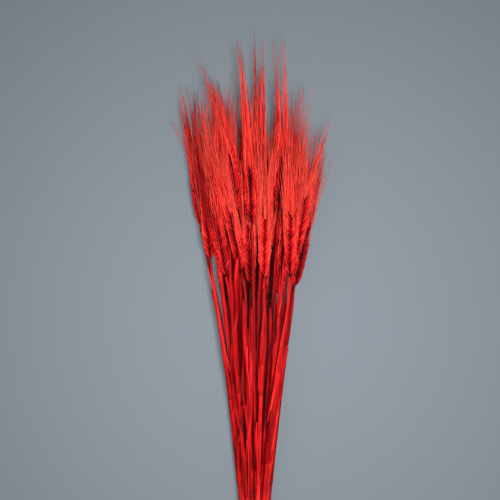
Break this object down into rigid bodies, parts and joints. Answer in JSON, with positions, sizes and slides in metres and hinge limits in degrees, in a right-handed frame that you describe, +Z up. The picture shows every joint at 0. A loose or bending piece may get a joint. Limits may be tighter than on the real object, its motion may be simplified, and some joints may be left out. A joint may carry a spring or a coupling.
{
  "type": "bunch of bearded wheat",
  "caption": "Gathered bunch of dyed bearded wheat lying on its side: long straws, two-ranked ears and straight awns, held by a twine tie.",
  "frame": {"origin": "on the surface that the bunch lies on, under the middle of the twine tie", "axes": "+Y along the bunch from the tie towards the awn tips, +Z up, +X to the right when the ears point away"},
  "size_m": [0.1493, 0.5835, 0.0679],
  "materials": {
    "dyed_straw": "satin",
    "twine": "matte"
  },
  "bodies": {
    "root": {"stalk_01": "dyed_straw", "stalk_02": "dyed_straw", "stalk_03": "dyed_straw", "stalk_04": "dyed_straw", "stalk_05": "dyed_straw", "stalk_06": "dyed_straw", "stalk_07": "dyed_straw", "stalk_08": "dyed_straw", "stalk_09": "dyed_straw", "stalk_10": "dyed_straw", "stalk_11": "dyed_straw", "stalk_12": "dyed_straw", "stalk_13": "dyed_straw", "stalk_14": "dyed_straw", "stalk_15": "dyed_straw", "stalk_16": "dyed_straw", "stalk_17": "dyed_straw", "stalk_18": "dyed_straw", "stalk_19": "dyed_straw", "stalk_20": "dyed_straw", "stalk_21": "dyed_straw", "stalk_22": "dyed_straw", "stalk_23": "dyed_straw", "stalk_24": "dyed_straw", "stalk_25": "dyed_straw", "stalk_26": "dyed_straw", "stalk_27": "dyed_straw", "stalk_28": "dyed_straw", "stalk_29": "dyed_straw", "stalk_30": "dyed_straw", "stalk_31": "dyed_straw", "stalk_32": "dyed_straw", "stalk_33": "dyed_straw", "stalk_34": "dyed_straw", "stalk_35": "dyed_straw", "stalk_36": "dyed_straw", "stalk_37": "dyed_straw", "stalk_38": "dyed_straw", "tie": "twine"}
  },
  "joints": []
}
